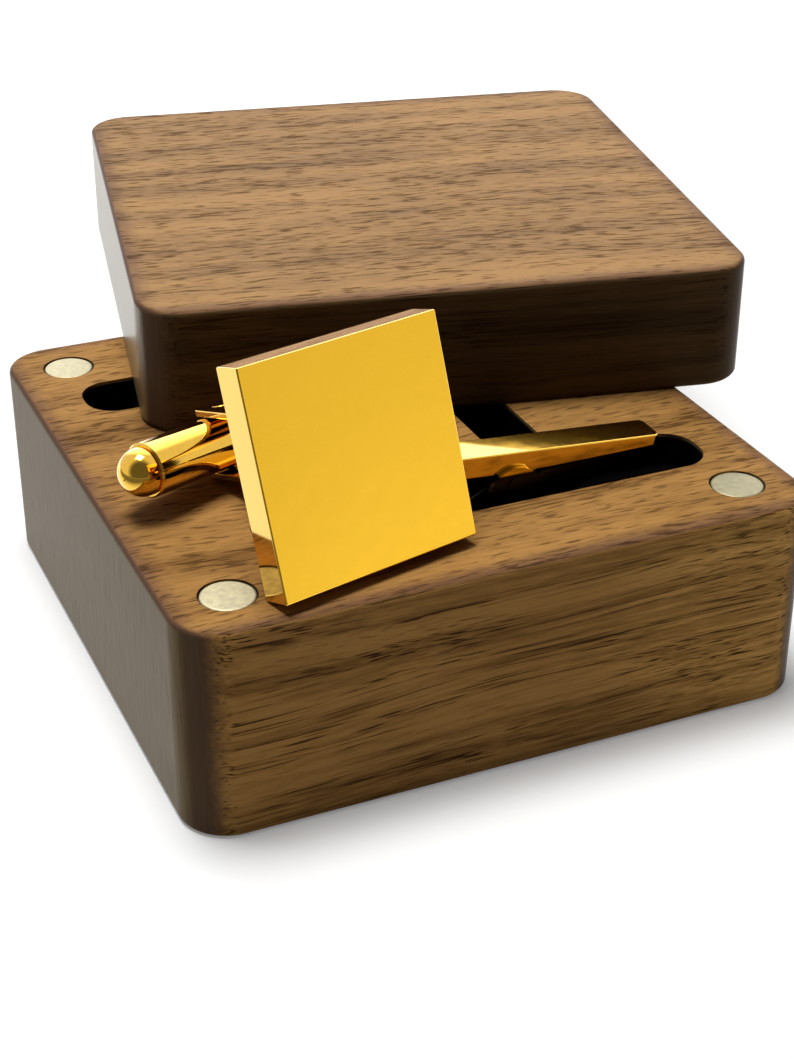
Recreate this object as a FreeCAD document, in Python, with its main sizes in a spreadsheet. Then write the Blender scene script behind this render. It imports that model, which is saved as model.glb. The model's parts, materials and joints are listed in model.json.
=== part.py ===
import FreeCAD, Part
import math
import os
import re

import Sketcher

# Cufflink box: a square walnut base with a lined recess, its lid laid askew on the rear,
# a cufflink leaning on the base's top and a tie clip in the front slot.
# Millimetres, +Z up, origin in the middle of the base's underside, +Y to the rear.

Vector = FreeCAD.Vector
Rotation = FreeCAD.Rotation
Placement = FreeCAD.Placement

X_AXIS = Vector(1, 0, 0)
Y_AXIS = Vector(0, 1, 0)
Z_AXIS = Vector(0, 0, 1)

SIZES = {
    # Walnut blocks
    "base_side": 60.0,
    "base_height": 20.3,
    "lid_height": 12.4,
    "corner_radius": 4.5,
    "edge_round": 0.6,
    # Lid's place on the base: sideways shift, clockwise turn and room behind the toggle
    "lid_shift": 13.5,
    "lid_turn": 11.6,
    "lid_clearance": 0.6,
    # Pocket in the lid's underside
    "lid_pocket_length": 50.0,
    "lid_pocket_width": 40.0,
    "lid_pocket_depth": 9.4,
    "lid_pocket_corner": 4.0,
    # Recess in the base's top: two long slots joined by two channels
    "slot_length": 44.0,
    "slot_width": 7.0,
    "slot_corner": 3.0,
    "slot_shift": 3.0,
    "slot_spacing": 32.0,
    "clip_slot_depth": 3.3,
    "plate_slot_depth": 10.5,
    "channel_width": 5.6,
    "channel_spacing": 19.4,
    "channel_depth": 5.6,
    "channel_lap": 1.2,
    # Black lining of the recess
    "lining_wall": 0.2,
    "lining_gap": 0.02,
    "lining_drop": 0.3,
    # Magnets at the corners of both blocks
    "magnet_radius": 2.45,
    "magnet_thickness": 2.0,
    "magnet_inset": 5.7,
    "magnet_gap": 0.1,
    "magnet_recess": 0.05,
    "magnet_rim": 0.25,
    # Cufflink
    "plate_side": 19.6,
    "plate_thickness": 3.2,
    "plate_bevel": 0.12,
    "post_length": 18.5,
    "yoke_width": 4.2,
    "yoke_play": 0.08,
    "yoke_arm": 0.6,
    "yoke_tip": 1.7,
    "yoke_corner": 0.8,
    "yoke_bend": 1.2,
    "pivot_radius": 0.55,
    "barrel_radius": 2.5,
    "barrel_length": 20.1,
    "barrel_bore": 1.5,
    "cap_radius": 2.2,
    "cap_collar": 0.25,
    "cap_seam": 0.15,
    "cap_spigot": 1.6,
    "plunger_length": 2.4,
    "detent_wire": 0.3,
    "detent_turns": 3.0,
    # Cufflink's place: turn and how far its lower edge stands back from the base's front
    "cufflink_turn": 13.6,
    "cufflink_inset": 5.7,
    "toggle_turn": 12.0,
    # Tie clip
    "clip_place": 5.0,
    "clip_turn": 2.0,
    "clip_roll": 2.0,
    "clip_tip": 15.0,
    "clip_tail": 16.1,
    "bar_width": 3.3,
    "bar_rise": 3.0,
    "bar_thickness": 2.0,
    "bar_tip_thickness": 0.95,
    "bar_pitch": 5.5,
    "bar_edge": 0.12,
    "bar_corner": 0.6,
    "lug_thickness": 0.55,
    "lug_radius": 1.2,
    "jaw_wall": 0.4,
    "jaw_floor": 0.5,
    "jaw_belly": 4.0,
    "jaw_ear": 2.7,
    "jaw_tip_width": 1.6,
    "ear_lap": 0.65,
    "jaw_tail_height": 3.3,
    "jaw_tail_setback": 0.8,
    "hinge_radius": 0.5,
    "hinge_head": 0.12,
    "torsion_wire": 0.34,
    "torsion_radius": 0.76,
    "torsion_pitch": 0.8,
    "torsion_turns": 1.0,
    "torsion_splay": 25.0,
    "torsion_leg": 5.0,
    # Clearances
    "rest_gap": 0.05,
    "running_gap": 0.04,
    "jaw_gap": 0.06,
    "post_clearance": 0.4,
    "tip_gap": 0.1,
}

doc = FreeCAD.newDocument("cufflink_box")
sheet = doc.addObject("Spreadsheet::Sheet", "Sizes")
for row, (alias, value) in enumerate(SIZES.items(), start=1):
    sheet.set(f"A{row}", alias)
    sheet.set(f"B{row}", str(value))
    sheet.setAlias(f"B{row}", alias)
doc.recompute()


def size(alias):
    """Value of one cell of the sheet."""
    return float(sheet.get(alias))


def bind(obj, **properties):
    """Tie properties of an object to expressions on the sheet's aliases."""
    for name, expression in properties.items():
        obj.setExpression(name, expression)


def with_sheet(expression):
    """Put the sheet's name in front of every alias of an expression."""
    def name(match):
        word = match.group()
        return "Sizes." + word if word in SIZES else word
    return re.sub(r"[a-z_]+", name, expression)


# Sketches and features of a body


def new_body(label):
    body = doc.addObject("PartDesign::Body", label)
    body.Label = label
    return body


def new_sketch(body, name, role, **offset):
    """Sketch on one of the body's own planes, with its offset tied to the sheet."""
    sketch = body.newObject("Sketcher::SketchObject", name)
    plane = next(f for f in body.Origin.OriginFeatures if f.Role == role)
    sketch.AttachmentSupport = [(plane, "")]
    sketch.MapMode = "FlatFace"
    for axis, expression in offset.items():
        sketch.setExpression(f"AttachmentOffset.Base.{axis}", with_sheet(expression))
    return sketch


def fix_point(sketch, geometry, point, x, y):
    """Hold a sketch point at two expressions measured from the sketch's origin."""
    for kind, expression in (("DistanceX", x), ("DistanceY", y)):
        bound = with_sheet(expression)
        start = float(sketch.evalExpression(bound))
        index = sketch.addConstraint(
            Sketcher.Constraint(kind, -1, 1, geometry, point, start))
        sketch.setExpression(f"Constraints[{index}]", bound)


def polygon(sketch, points):
    """Closed outline through points given as pairs of expressions."""
    places = [Vector(float(sketch.evalExpression(with_sheet(x))),
                     float(sketch.evalExpression(with_sheet(y))), 0) for x, y in points]
    first = sketch.GeometryCount
    count = len(points)
    for i in range(count):
        sketch.addGeometry(Part.LineSegment(places[i], places[(i + 1) % count]), False)
    for i in range(count):
        after = first + (i + 1) % count
        sketch.addConstraint(Sketcher.Constraint("Coincident", first + i, 2, after, 1))
    for i, (x, y) in enumerate(points):
        fix_point(sketch, first + i, 1, x, y)


def rectangle(sketch, length, width, x="0", y="0"):
    """Rectangle of two expressions about a middle point."""
    polygon(sketch, [(f"{x} - ({length}) / 2", f"{y} - ({width}) / 2"),
                     (f"{x} + ({length}) / 2", f"{y} - ({width}) / 2"),
                     (f"{x} + ({length}) / 2", f"{y} + ({width}) / 2"),
                     (f"{x} - ({length}) / 2", f"{y} + ({width}) / 2")])


def circle(sketch, radius, x="0", y="0"):
    bound = with_sheet(radius)
    start = float(sketch.evalExpression(bound))
    index = sketch.addGeometry(Part.Circle(Vector(0, 0, 0), Z_AXIS, start), False)
    constraint = sketch.addConstraint(Sketcher.Constraint("Radius", index, start))
    sketch.setExpression(f"Constraints[{constraint}]", bound)
    fix_point(sketch, index, 3, x, y)


def pad(body, sketch, length, symmetric=False, reverse=False):
    feature = body.newObject("PartDesign::Pad", sketch.Name + "_pad")
    feature.Profile = sketch
    feature.SideType = "Symmetric" if symmetric else "One side"
    feature.Reversed = reverse
    bind(feature, Length=with_sheet(length))
    doc.recompute()
    return feature


def pocket(body, sketch, depth, symmetric=False, reverse=False):
    """Cut whose volume is compared with the solid's before it."""
    before = body.Shape.Volume
    feature = body.newObject("PartDesign::Pocket", sketch.Name + "_cut")
    feature.Profile = sketch
    feature.SideType = "Symmetric" if symmetric else "One side"
    feature.Reversed = reverse
    bind(feature, Length=with_sheet(depth))
    doc.recompute()
    if feature.Shape.Volume > before - 1e-6:
        raise RuntimeError(f"{feature.Name} cuts nothing")
    return feature


def edges_where(shape, test):
    """Names of the edges that pass a test."""
    return [f"Edge{i}" for i, edge in enumerate(shape.Edges, start=1) if test(edge)]


def runs_along(edge, axis):
    """True for a straight edge along an axis."""
    return (isinstance(edge.Curve, Part.Line)
            and abs(abs(edge.Curve.Direction.dot(axis)) - 1) < 1e-6)


def at_height(edge, z):
    return abs(edge.BoundBox.ZMin - z) < 1e-6 and abs(edge.BoundBox.ZMax - z) < 1e-6


def dress(body, kind, base, edges, value):
    """Fillet or chamfer on named edges of the last feature."""
    feature = body.newObject(f"PartDesign::{kind}", f"{body.Name}_{kind}_{len(body.Group)}")
    feature.Base = (base, edges)
    bind(feature, **{"Radius" if kind == "Fillet" else "Size": with_sheet(value)})
    doc.recompute()
    return feature


def polar_pattern(body, feature, count):
    pattern = body.newObject("PartDesign::PolarPattern", feature.Name + "_ring")
    pattern.Originals = [feature]
    axis = next(f for f in body.Origin.OriginFeatures if f.Role == "Z_Axis")
    pattern.Axis = (axis, [""])
    pattern.Angle = 360
    pattern.Occurrences = count
    body.Tip = pattern
    doc.recompute()
    return pattern


def primitive(kind, name, **expressions):
    obj = doc.addObject(f"Part::{kind}", name)
    bind(obj, **{key: with_sheet(text) for key, text in expressions.items()})
    doc.recompute()
    return obj


# Walnut base


def block(label, height):
    """Square block with rounded corners and softened upper and lower edges."""
    body = new_body(label)
    outline = new_sketch(body, f"{label}_outline", "XY_Plane")
    rectangle(outline, "base_side", "base_side")
    solid = pad(body, outline, height)
    corners = edges_where(solid.Shape, lambda e: runs_along(e, Z_AXIS))
    rounded = dress(body, "Fillet", solid, corners, "corner_radius")
    top = size(height)
    rims = edges_where(rounded.Shape, lambda e: at_height(e, 0) or at_height(e, top))
    dress(body, "Fillet", rounded, rims, "edge_round")
    return body


def round_corners(body, feature, half_x, half_y, middle, radius):
    """Fillet the upright corner edges of a rectangular cut."""
    def is_corner(edge):
        place = edge.CenterOfMass
        return (runs_along(edge, Z_AXIS)
                and abs(abs(place.x - middle[0]) - half_x) < 1e-4
                and abs(abs(place.y - middle[1]) - half_y) < 1e-4)
    return dress(body, "Fillet", feature, edges_where(feature.Shape, is_corner), radius)


def magnet_holes(body, level, reverse):
    """Four flat-bottomed holes for the magnets."""
    drill = new_sketch(body, f"{body.Name}_magnet_hole", "XY_Plane", z=level)
    circle(drill, "magnet_radius + magnet_gap",
           "base_side / 2 - magnet_inset", "base_side / 2 - magnet_inset")
    hole = pocket(body, drill, "magnet_thickness + magnet_recess", reverse=reverse)
    polar_pattern(body, hole, 4)


def make_base():
    body = block("base", "base_height")
    for name, side, depth in (("clip_slot", 1, "clip_slot_depth"),
                              ("plate_slot", -1, "plate_slot_depth")):
        slot = new_sketch(body, name, "XY_Plane", z="base_height")
        rectangle(slot, "slot_length", "slot_width",
                  f"{side} * slot_shift", f"{-side} * slot_spacing / 2")
        cut = pocket(body, slot, depth)
        middle = (side * size("slot_shift"), -side * size("slot_spacing") / 2)
        round_corners(body, cut, size("slot_length") / 2, size("slot_width") / 2,
                      middle, "slot_corner")
    for name, side in (("left_channel", -1), ("right_channel", 1)):
        channel = new_sketch(body, name, "XY_Plane", z="base_height")
        rectangle(channel, "channel_width", "slot_spacing - slot_width + 2 * channel_lap",
                  f"{side} * channel_spacing / 2")
        pocket(body, channel, "channel_depth")
    magnet_holes(body, "base_height", False)
    return body


# Black lining: a thin tray that follows the recess


def rounded_box(length, width, low, high, middle, radius):
    box = Part.makeBox(length, width, high - low,
                       Vector(middle[0] - length / 2, middle[1] - width / 2, low))
    if radius <= 0:
        return box
    return box.makeFillet(radius, [e for e in box.Edges if runs_along(e, Z_AXIS)])


def recess(inset, top):
    """Space of the recess, drawn in from its walls and floors by an inset."""
    high = size("base_height")
    spacing = size("slot_spacing")
    shapes = []
    for side, depth in ((1, "clip_slot_depth"), (-1, "plate_slot_depth")):
        shapes.append(rounded_box(
            size("slot_length") - 2 * inset, size("slot_width") - 2 * inset,
            high - size(depth) + inset, top,
            (side * size("slot_shift"), -side * spacing / 2), size("slot_corner") - inset))
    reach = spacing - size("slot_width") + 2 * (size("channel_lap") - inset)
    for side in (-1, 1):
        shapes.append(rounded_box(
            size("channel_width") - 2 * inset, reach, high - size("channel_depth") + inset, top,
            (side * size("channel_spacing") / 2, 0), 0))
    return shapes[0].multiFuse(shapes[1:]).removeSplitter()


def make_lining():
    top = size("base_height") - size("lining_drop")
    gap = size("lining_gap")
    tray = recess(gap, top).cut(recess(gap + size("lining_wall"), size("base_height")))
    lining = doc.addObject("Part::Feature", "recess_lining")
    lining.Shape = tray.removeSplitter()
    return lining


# Lid, modelled about its own middle with its underside at zero


def make_lid():
    body = block("lid", "lid_height")
    hollow = new_sketch(body, "lid_pocket", "XY_Plane")
    rectangle(hollow, "lid_pocket_length", "lid_pocket_width")
    cut = pocket(body, hollow, "lid_pocket_depth", reverse=True)
    round_corners(body, cut, size("lid_pocket_length") / 2, size("lid_pocket_width") / 2,
                  (0, 0), "lid_pocket_corner")
    magnet_holes(body, "0", True)
    return body


def lid_place():
    """The lid's front face stands behind the dome of the toggle's right end by a clearance."""
    turn = math.radians(size("lid_turn"))
    dome = (cufflink_place() * toggle_place()).multVec(
        Vector(size("barrel_length") / 2 + size("cap_collar"), 0, 0))
    depth = size("base_side") / 2 + size("cap_radius") + size("lid_clearance")
    y = dome.y + (depth + (dome.x - size("lid_shift")) * math.sin(turn)) / math.cos(turn)
    return Placement(Vector(size("lid_shift"), y, size("base_height")),
                     Rotation(Z_AXIS, -size("lid_turn")))


# Magnets


def make_magnet(label, x_side, y_side, level, carrier):
    """Disc with a rounded rim, standing at one corner of its block."""
    disc = primitive("Cylinder", label + "_disc",
                     Radius="magnet_radius", Height="magnet_thickness")
    magnet = doc.addObject("Part::Fillet", label)
    magnet.Base = disc
    rims = [i for i, e in enumerate(disc.Shape.Edges, start=1) if isinstance(e.Curve, Part.Circle)]
    rim = size("magnet_rim")
    magnet.Edges = [(i, rim, rim) for i in rims]
    reach = size("base_side") / 2 - size("magnet_inset")
    magnet.Placement = carrier * Placement(Vector(x_side * reach, y_side * reach, level), Rotation())
    return magnet


def make_magnets():
    corners = [("front_left", -1, -1), ("front_right", 1, -1),
               ("rear_left", -1, 1), ("rear_right", 1, 1)]
    recessed = size("magnet_recess")
    base_level = size("base_height") - recessed - size("magnet_thickness")
    magnets = []
    for name, x_side, y_side in corners:
        magnets.append(make_magnet("base_magnet_" + name, x_side, y_side, base_level, Placement()))
    for name, x_side, y_side in corners:
        magnets.append(make_magnet("lid_magnet_" + name, x_side, y_side, recessed, lid_place()))
    return magnets


# Tie clip, modelled about its hinge with the tip along +X


def half_jaw():
    """Half of the jaw's width over its ears."""
    return size("bar_width") / 2 + size("jaw_gap") + size("jaw_wall")


def clip_place():
    """The clip lies in the front slot, turned a little and rolled towards the front."""
    floor = (size("base_height") - size("clip_slot_depth") + size("lining_gap")
             + size("lining_wall"))
    roll = math.radians(size("clip_roll"))
    rise = size("jaw_belly") * math.cos(roll) + half_jaw() * math.sin(roll)
    return (Placement(Vector(size("clip_place"), -size("slot_spacing") / 2,
                             floor + size("rest_gap") + rise),
                      Rotation(Z_AXIS, size("clip_turn")))
            * Placement(Vector(), Rotation(X_AXIS, size("clip_roll"))))


def make_bar():
    """Tapered bar with two hinge lugs under it, dipped towards its tip."""
    body = new_body("tie_clip_bar")
    side = new_sketch(body, "bar_side", "XZ_Plane")
    polygon(side, [("-clip_tail", "bar_rise"), ("-clip_tail", "bar_rise - bar_tip_thickness"),
                   ("-clip_tail / 2", "bar_rise - bar_thickness"),
                   ("lug_radius", "bar_rise - bar_thickness"),
                   ("clip_tip", "bar_rise - bar_tip_thickness"), ("clip_tip", "bar_rise")])
    solid = pad(body, side, "bar_width", symmetric=True)
    ends = edges_where(solid.Shape, lambda e: runs_along(e, Z_AXIS))
    tips = dress(body, "Fillet", solid, ends, "bar_corner")
    top = size("bar_rise")
    dress(body, "Fillet", tips, edges_where(tips.Shape, lambda e: at_height(e, top)), "bar_edge")
    inner = "bar_width / 2 - lug_thickness / 2 - jaw_gap"
    for name, sign in (("front_lug", 1), ("rear_lug", -1)):
        lug = new_sketch(body, name, "XZ_Plane", z=f"{sign} * ({inner})")
        polygon(lug, [("-lug_radius", "0"), ("lug_radius", "0"),
                      ("lug_radius", "bar_rise - bar_thickness + bar_edge"),
                      ("-lug_radius", "bar_rise - bar_thickness + bar_edge")])
        pad(body, lug, "lug_thickness", symmetric=True)
        eye = new_sketch(body, name + "_eye", "XZ_Plane", z=f"{sign} * ({inner})")
        circle(eye, "lug_radius")
        pad(body, eye, "lug_thickness", symmetric=True)
    bore = new_sketch(body, "bar_bore", "XZ_Plane")
    circle(bore, "hinge_radius + running_gap")
    pocket(body, bore, "2 * bar_width", symmetric=True)
    return body


def bar_turn():
    return Placement(Vector(), Rotation(Y_AXIS, size("bar_pitch")))


def bar_underside(reach, thickness):
    """Height above the hinge of the pitched bar's underside, where the bar has a thickness."""
    pitch = math.radians(size("bar_pitch"))
    return (size("bar_rise") - thickness) / math.cos(pitch) - reach * math.tan(pitch)


def make_jaw():
    """Channel with ears at the hinge and a flat belly; its beak tapers to the tip under the bar."""
    body = new_body("tie_clip_jaw")
    width = "bar_width + 2 * (jaw_gap + jaw_wall)"
    tip = "clip_tip - jaw_tail_setback"
    tail = "jaw_tail_setback - clip_tail"
    reach = size("clip_tip") - size("jaw_tail_setback")
    grip_top = f"{bar_underside(reach, size('bar_tip_thickness')) - size('tip_gap'):.6f}"
    grip_low = f"{grip_top} - jaw_floor"
    wall_top = f"{bar_underside(size('jaw_ear'), size('bar_thickness')) - size('tip_gap'):.6f}"
    ear_middle = "bar_rise - bar_thickness + ear_lap - jaw_ear"
    side = new_sketch(body, "jaw_side", "XZ_Plane")
    polygon(side, [(tail, "-jaw_belly"), ("-jaw_floor", "-jaw_belly"), (tip, grip_low),
                   (tip, grip_top), ("jaw_ear", wall_top), ("0", "0"),
                   ("-jaw_ear", ear_middle), (tail, "jaw_tail_height - jaw_belly")])
    pad(body, side, width, symmetric=True)
    ear = new_sketch(body, "jaw_ears", "XZ_Plane")
    circle(ear, "jaw_ear", "0", ear_middle)
    solid = pad(body, ear, width, symmetric=True)
    low = -size("jaw_belly")
    rims = edges_where(solid.Shape, lambda e: runs_along(e, X_AXIS) and at_height(e, low))
    dress(body, "Fillet", solid, rims, "jaw_wall")
    beak = new_sketch(body, "jaw_beak_sides", "XY_Plane")
    for sign in (1, -1):
        outside = f"{sign} * ({width})"
        polygon(beak, [("jaw_ear", f"{outside} / 2"), ("clip_tip", f"{sign} * jaw_tip_width / 2"),
                       ("clip_tip", outside), ("jaw_ear", outside)])
    pocket(body, beak, "4 * jaw_belly", symmetric=True)
    hollow = new_sketch(body, "jaw_hollow", "XZ_Plane")
    rise = f"({grip_low} + jaw_belly) / ({tip} + jaw_floor)"
    end = "jaw_ear - jaw_wall"
    polygon(hollow, [("-clip_tail", "jaw_floor - jaw_belly"),
                     ("-jaw_floor", "jaw_floor - jaw_belly"),
                     (end, f"jaw_floor - jaw_belly + ({end} + jaw_floor) * ({rise})"),
                     (end, "2 * jaw_ear"), ("-clip_tail", "2 * jaw_ear")])
    pocket(body, hollow, "bar_width + 2 * jaw_gap", symmetric=True)
    bore = new_sketch(body, "jaw_bore", "XZ_Plane")
    circle(bore, "hinge_radius + running_gap")
    pocket(body, bore, "2 * bar_width", symmetric=True)
    return body


def make_hinge_pin():
    pin = primitive("Cylinder", "tie_clip_hinge_pin", Radius="hinge_radius",
                    Height="bar_width + 2 * (jaw_gap + jaw_wall + hinge_head)")
    pin.Placement = Placement(Vector(0, pin.Height.Value / 2, 0), Rotation(X_AXIS, 90))
    return pin


def coil_path(radius, pitch, sweep, start_angle=0.0):
    """Arcs of about a quarter turn along a helix about Z, with its first and last points."""
    def point(angle):
        return Vector(radius * math.cos(angle), radius * math.sin(angle),
                      pitch * (angle - start_angle) / (2 * math.pi))
    count = math.ceil(sweep / (math.pi / 2))
    step = sweep / count
    edges = []
    for i in range(count):
        a = start_angle + i * step
        edges.append(Part.Arc(point(a), point(a + step / 2), point(a + step)).toShape())
    return edges, point(start_angle), point(start_angle + sweep)


def wire_round(path, wire):
    """Round wire of a diameter along a path of edges."""
    start = path.OrderedVertexes[0].Point
    first = path.OrderedEdges[0]
    heading = first.tangentAt(first.FirstParameter)
    if (first.valueAt(first.FirstParameter) - start).Length > 1e-6:
        heading = first.tangentAt(first.LastParameter) * -1
    section = Part.Wire([Part.makeCircle(wire / 2, start, heading)])
    return path.makePipeShell([section], True, False)


def make_torsion_spring():
    """Coil about the hinge between the lugs, with a leg under the bar and one on the jaw."""
    radius = size("torsion_radius")
    wire = size("torsion_wire")
    splay = math.radians(size("torsion_splay"))
    pitch = math.radians(size("bar_pitch"))
    start_angle = splay - math.pi / 2
    sweep = math.pi - pitch - splay + 2 * math.pi * size("torsion_turns")
    arcs, start, end = coil_path(radius, size("torsion_pitch"), sweep, start_angle)
    floor = size("jaw_belly") - size("jaw_floor") - wire / 2 - size("running_gap")
    lower_leg = (floor - radius * math.cos(splay)) / math.sin(splay)
    lower = start - Vector(math.cos(splay), math.sin(splay), 0) * lower_leg
    upper = end + Vector(-math.cos(pitch), math.sin(pitch), 0) * size("torsion_leg")
    path = Part.Wire([Part.makeLine(lower, start)] + arcs + [Part.makeLine(end, upper)])
    spring = doc.addObject("Part::Feature", "tie_clip_spring")
    spring.Shape = wire_round(path, wire)
    print(f"torsion spring gap between turns {size('torsion_pitch') - wire:.2f}")
    spring.Placement = Placement(Vector(0, end.z / 2, 0), Rotation(X_AXIS, 90))
    return spring


# Cufflink, modelled on the middle of its plate's lower back edge: X along the edge,
# Y out of the back, Z up the plate


def cufflink_lean():
    """Lean that brings the tip of the yoke's lower arm down to the base's top."""
    arm = size("barrel_radius") + size("yoke_play") + size("yoke_arm")
    return math.degrees(math.atan2(size("plate_side") / 2 - arm,
                                   size("post_length") + size("yoke_tip")))


def cufflink_place():
    """The post passes just beyond the tie clip's tail."""
    turn = math.radians(size("cufflink_turn"))
    skew = math.radians(size("clip_turn"))
    tail_x = size("clip_place") - size("clip_tail") * math.cos(skew)
    tail_y = -size("slot_spacing") / 2 - size("clip_tail") * math.sin(skew) - half_jaw()
    y = -size("base_side") / 2 + size("cufflink_inset")
    x = (tail_x - size("post_clearance") - size("yoke_width") / 2 / math.cos(turn)
         + (tail_y - y) * math.tan(turn))
    return (Placement(Vector(x, y, size("base_height") + size("rest_gap")),
                      Rotation(Z_AXIS, size("cufflink_turn")))
            * Placement(Vector(), Rotation(X_AXIS, -cufflink_lean())))


def make_plate():
    """Square plate with a bevel round its face."""
    body = new_body("cufflink_plate")
    face = new_sketch(body, "plate_face", "XZ_Plane")
    rectangle(face, "plate_side", "plate_side", "0", "plate_side / 2")
    solid = pad(body, face, "plate_thickness")
    front = solid.Shape.BoundBox.YMin
    rims = edges_where(solid.Shape, lambda e: abs(e.BoundBox.YMax - front) < 1e-6)
    dress(body, "Chamfer", solid, rims, "plate_bevel")
    return body


def make_post():
    """Yoke of bent strip: a foot on the plate's back and two arms that hold the pivot."""
    body = new_body("cufflink_post")
    outline = new_sketch(body, "yoke_outline", "YZ_Plane")
    middle = "plate_side / 2"
    inner = "(barrel_radius + yoke_play)"
    outer = "(barrel_radius + yoke_play + yoke_arm)"
    polygon(outline, [("0", f"{middle} - {outer}"),
                      ("post_length + yoke_tip", f"{middle} - {outer}"),
                      ("post_length + yoke_tip", f"{middle} - {inner}"),
                      ("yoke_arm", f"{middle} - {inner}"),
                      ("yoke_arm", f"{middle} + {inner}"),
                      ("post_length + yoke_tip", f"{middle} + {inner}"),
                      ("post_length + yoke_tip", f"{middle} + {outer}"),
                      ("0", f"{middle} + {outer}")])
    solid = pad(body, outline, "yoke_width", symmetric=True)
    end = size("post_length") + size("yoke_tip")
    tips = edges_where(solid.Shape, lambda e: (runs_along(e, Z_AXIS)
                                               and abs(e.BoundBox.YMin - end) < 1e-6))
    rounded = dress(body, "Fillet", solid, tips, "yoke_corner")
    arm = size("yoke_arm")
    bends = edges_where(rounded.Shape, lambda e: (runs_along(e, X_AXIS)
                                                  and abs(e.BoundBox.YMin - arm) < 1e-6))
    dress(body, "Fillet", rounded, bends, "yoke_bend")
    bore = new_sketch(body, "yoke_bore", "XY_Plane")
    circle(bore, "pivot_radius + running_gap / 4", "0", "post_length")
    pocket(body, bore, "plate_side", reverse=True)
    return body


def pivot_place():
    return Placement(Vector(0, size("post_length"), size("plate_side") / 2), Rotation())


def make_pivot_pin():
    pin = primitive("Cylinder", "cufflink_pivot_pin", Radius="pivot_radius",
                    Height="2 * (barrel_radius + yoke_play + yoke_arm)")
    pin.Placement = pivot_place() * Placement(Vector(0, 0, -pin.Height.Value / 2), Rotation())
    return pin


# Toggle, modelled about its pivot with its length along X


def toggle_place():
    return pivot_place() * Placement(Vector(), Rotation(Z_AXIS, size("toggle_turn")))


def make_barrel():
    """Round barrel with a cross bore for the pivot and a bore from each end."""
    body = new_body("cufflink_toggle_barrel")
    section = new_sketch(body, "barrel_section", "YZ_Plane")
    circle(section, "barrel_radius")
    solid = pad(body, section, "barrel_length", symmetric=True)
    rims = edges_where(solid.Shape, lambda e: isinstance(e.Curve, Part.Circle))
    dress(body, "Chamfer", solid, rims, "cap_seam")
    for name, sign in (("left_bore", -1), ("right_bore", 1)):
        depth = "cap_spigot + running_gap" if sign < 0 else "barrel_length / 2"
        drill = new_sketch(body, name, "YZ_Plane", z=f"{sign} * barrel_length / 2")
        circle(drill, "barrel_bore")
        pocket(body, drill, depth, reverse=sign < 0)
    bore = new_sketch(body, "barrel_pivot_bore", "XY_Plane")
    circle(bore, "pivot_radius + running_gap")
    pocket(body, bore, "4 * barrel_radius", symmetric=True)
    return body


def make_cap(label, sign):
    """Domed end, slimmer than the barrel: hemisphere, collar and a spigot in the barrel's bore."""
    dome = primitive("Sphere", label + "_dome", Radius="cap_radius")
    dome.Angle1 = 0
    dome.Placement = Placement(Vector(0, 0, size("cap_collar")), Rotation())
    collar = primitive("Cylinder", label + "_collar", Radius="cap_radius", Height="cap_collar")
    relief = doc.addObject("Part::Chamfer", label + "_relief")
    relief.Base = collar
    seam = size("cap_seam")
    low = [i for i, e in enumerate(collar.Shape.Edges, start=1)
           if isinstance(e.Curve, Part.Circle) and at_height(e, 0)]
    relief.Edges = [(i, seam, seam) for i in low]
    spigot = primitive("Cylinder", label + "_spigot", Radius="barrel_bore - running_gap",
                       Height="cap_spigot + cap_collar")
    spigot.Placement = Placement(Vector(0, 0, -size("cap_spigot")), Rotation())
    cap = doc.addObject("Part::MultiFuse", label)
    cap.Shapes = [dome, relief, spigot]
    cap.Refine = True
    cap.Placement = Placement(Vector(sign * size("barrel_length") / 2, 0, 0),
                              Rotation(Y_AXIS, sign * 90))
    return cap


def make_plunger():
    """Round-nosed plunger that presses on the pivot pin."""
    stem = primitive("Cylinder", "plunger_stem", Radius="barrel_bore - running_gap",
                     Height="plunger_length")
    plunger = doc.addObject("Part::Fillet", "cufflink_detent_plunger")
    plunger.Base = stem
    nose = size("barrel_bore") / 2
    low = [i for i, e in enumerate(stem.Shape.Edges, start=1)
           if isinstance(e.Curve, Part.Circle) and at_height(e, 0)]
    plunger.Edges = [(i, nose, nose) for i in low]
    plunger.Placement = Placement(Vector(size("pivot_radius") + size("running_gap"), 0, 0),
                                  Rotation(Y_AXIS, 90))
    return plunger


def make_detent_spring():
    """Coil between the plunger and the right cap's spigot."""
    wire = size("detent_wire")
    start = (size("pivot_radius") + 2 * size("running_gap") + size("plunger_length") + wire / 2)
    end = size("barrel_length") / 2 - size("cap_spigot") - size("running_gap") - wire / 2
    pitch = (end - start) / size("detent_turns")
    radius = size("barrel_bore") - size("running_gap") - wire / 2
    arcs = coil_path(radius, pitch, 2 * math.pi * size("detent_turns"))[0]
    spring = doc.addObject("Part::Feature", "cufflink_detent_spring")
    spring.Shape = wire_round(Part.Wire(arcs), wire)
    print(f"detent spring gap between turns {pitch - wire:.2f}")
    spring.Placement = Placement(Vector(start, 0, 0), Rotation(Y_AXIS, 90))
    return spring


def carry(objects, place):
    """Set pieces of an assembly in the place of their assembly."""
    for obj in objects:
        obj.Placement = place * obj.Placement
    return objects


def make_all():
    lid = make_lid()
    lid.Placement = lid_place()
    bar = make_bar()
    bar.Placement = bar_turn()
    spring = make_torsion_spring()
    clip = carry([bar, make_jaw(), make_hinge_pin(), spring], clip_place())
    toggle = carry([make_barrel(), make_cap("cufflink_toggle_cap_left", -1),
                    make_cap("cufflink_toggle_cap_right", 1), make_plunger(),
                    make_detent_spring()], toggle_place())
    cufflink = carry([make_plate(), make_post(), make_pivot_pin()] + toggle, cufflink_place())
    return [make_base(), make_lining(), lid] + make_magnets() + clip + cufflink


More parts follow.
